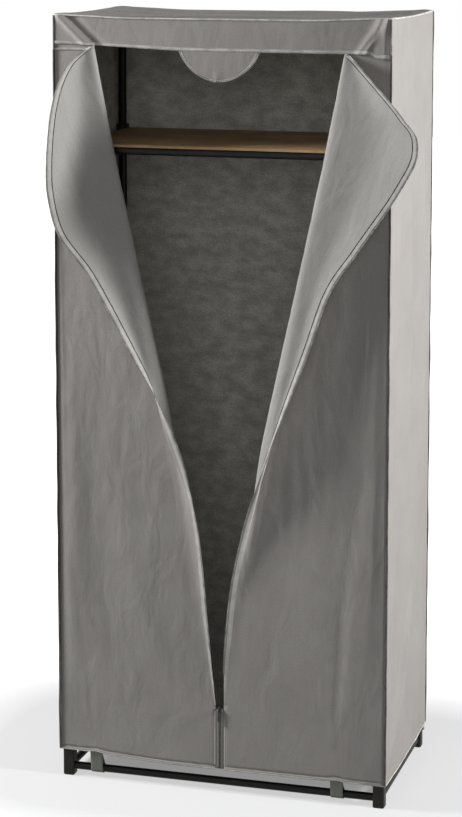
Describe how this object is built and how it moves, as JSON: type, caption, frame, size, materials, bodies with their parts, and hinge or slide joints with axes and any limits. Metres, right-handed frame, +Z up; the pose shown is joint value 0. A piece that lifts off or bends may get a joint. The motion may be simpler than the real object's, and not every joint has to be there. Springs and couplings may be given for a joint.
{
  "type": "portable fabric wardrobe",
  "caption": "Free-standing wardrobe: a light tube frame with a shelf and a hanging rail under a fabric cover whose zipped front is folded back.",
  "frame": {"origin": "middle of the whole part's outline, on the floor under its feet", "axes": "+Z up along the uprights, +X to the right as one faces the front, -Y out of the front"},
  "size_m": [0.77, 0.4904, 1.6],
  "materials": {
    "painted_steel": "black powder coat, semi-gloss",
    "moulded_plastic": "moulded black polypropylene, matte",
    "board_wood": "thin fibreboard with a tan face",
    "cover_cloth": "grey-brown woven polyester, matte",
    "roof_cloth": "the cover's grey-brown cloth, matte",
    "lining_cloth": "inside of the cover's cloth, matte",
    "strap_cloth": "grey webbing",
    "zip_tape": "woven zip tape with a row of teeth",
    "zip_metal": "dark enamelled die-cast metal"
  },
  "bodies": {
    "frame_and_cover": {"front_left_foot_connector": "moulded_plastic", "front_left_shelf_connector": "moulded_plastic", "front_left_top_connector": "moulded_plastic", "front_left_lower_upright": "painted_steel", "front_left_middle_upright": "painted_steel", "front_left_upper_upright": "painted_steel", "front_right_foot_connector": "moulded_plastic", "front_right_shelf_connector": "moulded_plastic", "front_right_top_connector": "moulded_plastic", "front_right_lower_upright": "painted_steel", "front_right_middle_upright": "painted_steel", "front_right_upper_upright": "painted_steel", "back_left_foot_connector": "moulded_plastic", "back_left_shelf_connector": "moulded_plastic", "back_left_top_connector": "moulded_plastic", "back_left_lower_upright": "painted_steel", "back_left_middle_upright": "painted_steel", "back_left_upper_upright": "painted_steel", "back_right_foot_connector": "moulded_plastic", "back_right_shelf_connector": "moulded_plastic", "back_right_top_connector": "moulded_plastic", "back_right_lower_upright": "painted_steel", "back_right_middle_upright": "painted_steel", "back_right_upper_upright": "painted_steel", "front_base_rail": "painted_steel", "back_base_rail": "painted_steel", "left_base_rail": "painted_steel", "right_base_rail": "painted_steel", "front_shelf_rail": "painted_steel", "back_shelf_rail": "painted_steel", "left_shelf_rail": "painted_steel", "right_shelf_rail": "painted_steel", "front_top_rail": "painted_steel", "back_top_rail": "painted_steel", "left_top_rail": "painted_steel", "right_top_rail": "painted_steel", "left_hanging_rail_bracket": "moulded_plastic", "right_hanging_rail_bracket": "moulded_plastic", "hanging_rail": "painted_steel", "roof_panel": "roof_cloth", "left_side_panel": "cover_cloth", "right_side_panel": "cover_cloth", "back_panel": "lining_cloth", "front_header": "cover_cloth", "left_front_panel": "cover_cloth", "right_front_panel": "cover_cloth", "left_zip_tape": "zip_tape", "right_zip_tape": "zip_tape", "left_tie_strap": "strap_cloth", "right_tie_strap": "strap_cloth"},
    "left_lapel": {"left_lapel": "lining_cloth"},
    "right_lapel": {"right_lapel": "lining_cloth"},
    "header_flap": {"header_flap": "cover_cloth"},
    "zip_slider": {"zip_slider": "zip_metal"},
    "zip_pull": {"zip_pull": "zip_metal"},
    "shelf_board": {"shelf_board": "board_wood"}
  },
  "joints": [
    {"name": "left_lapel_fold", "type": "hinge", "parent": "frame_and_cover", "child": "left_lapel", "pos_m": [-0.04121, -0.15389, 0.178], "axis": [-0.1869, 0, 0.9824], "range_deg": [0, 90]},
    {"name": "right_lapel_fold", "type": "hinge", "parent": "frame_and_cover", "child": "right_lapel", "pos_m": [-0.02321, -0.15389, 0.178], "axis": [-0.1839, 0, -0.9829], "range_deg": [0, 90]},
    {"name": "header_flap_lift", "type": "hinge", "parent": "frame_and_cover", "child": "header_flap", "pos_m": [-0.03221, -0.15719, 1.53], "axis": [-1, 0, 0], "range_deg": [0, 150]},
    {"name": "zip_slide", "type": "slide", "parent": "frame_and_cover", "child": "zip_slider", "axis": [0, 0, -1], "range_m": [0, 0.11]},
    {"name": "zip_pull_swing", "type": "hinge", "parent": "zip_slider", "child": "zip_pull", "pos_m": [-0.03221, -0.15899, 0.1773], "axis": [-1, 0, 0], "range_deg": [0, 160]},
    {"name": "shelf_lift", "type": "slide", "parent": "frame_and_cover", "child": "shelf_board", "axis": [0, 0, 1], "range_m": [0, 0.05]}
  ]
}
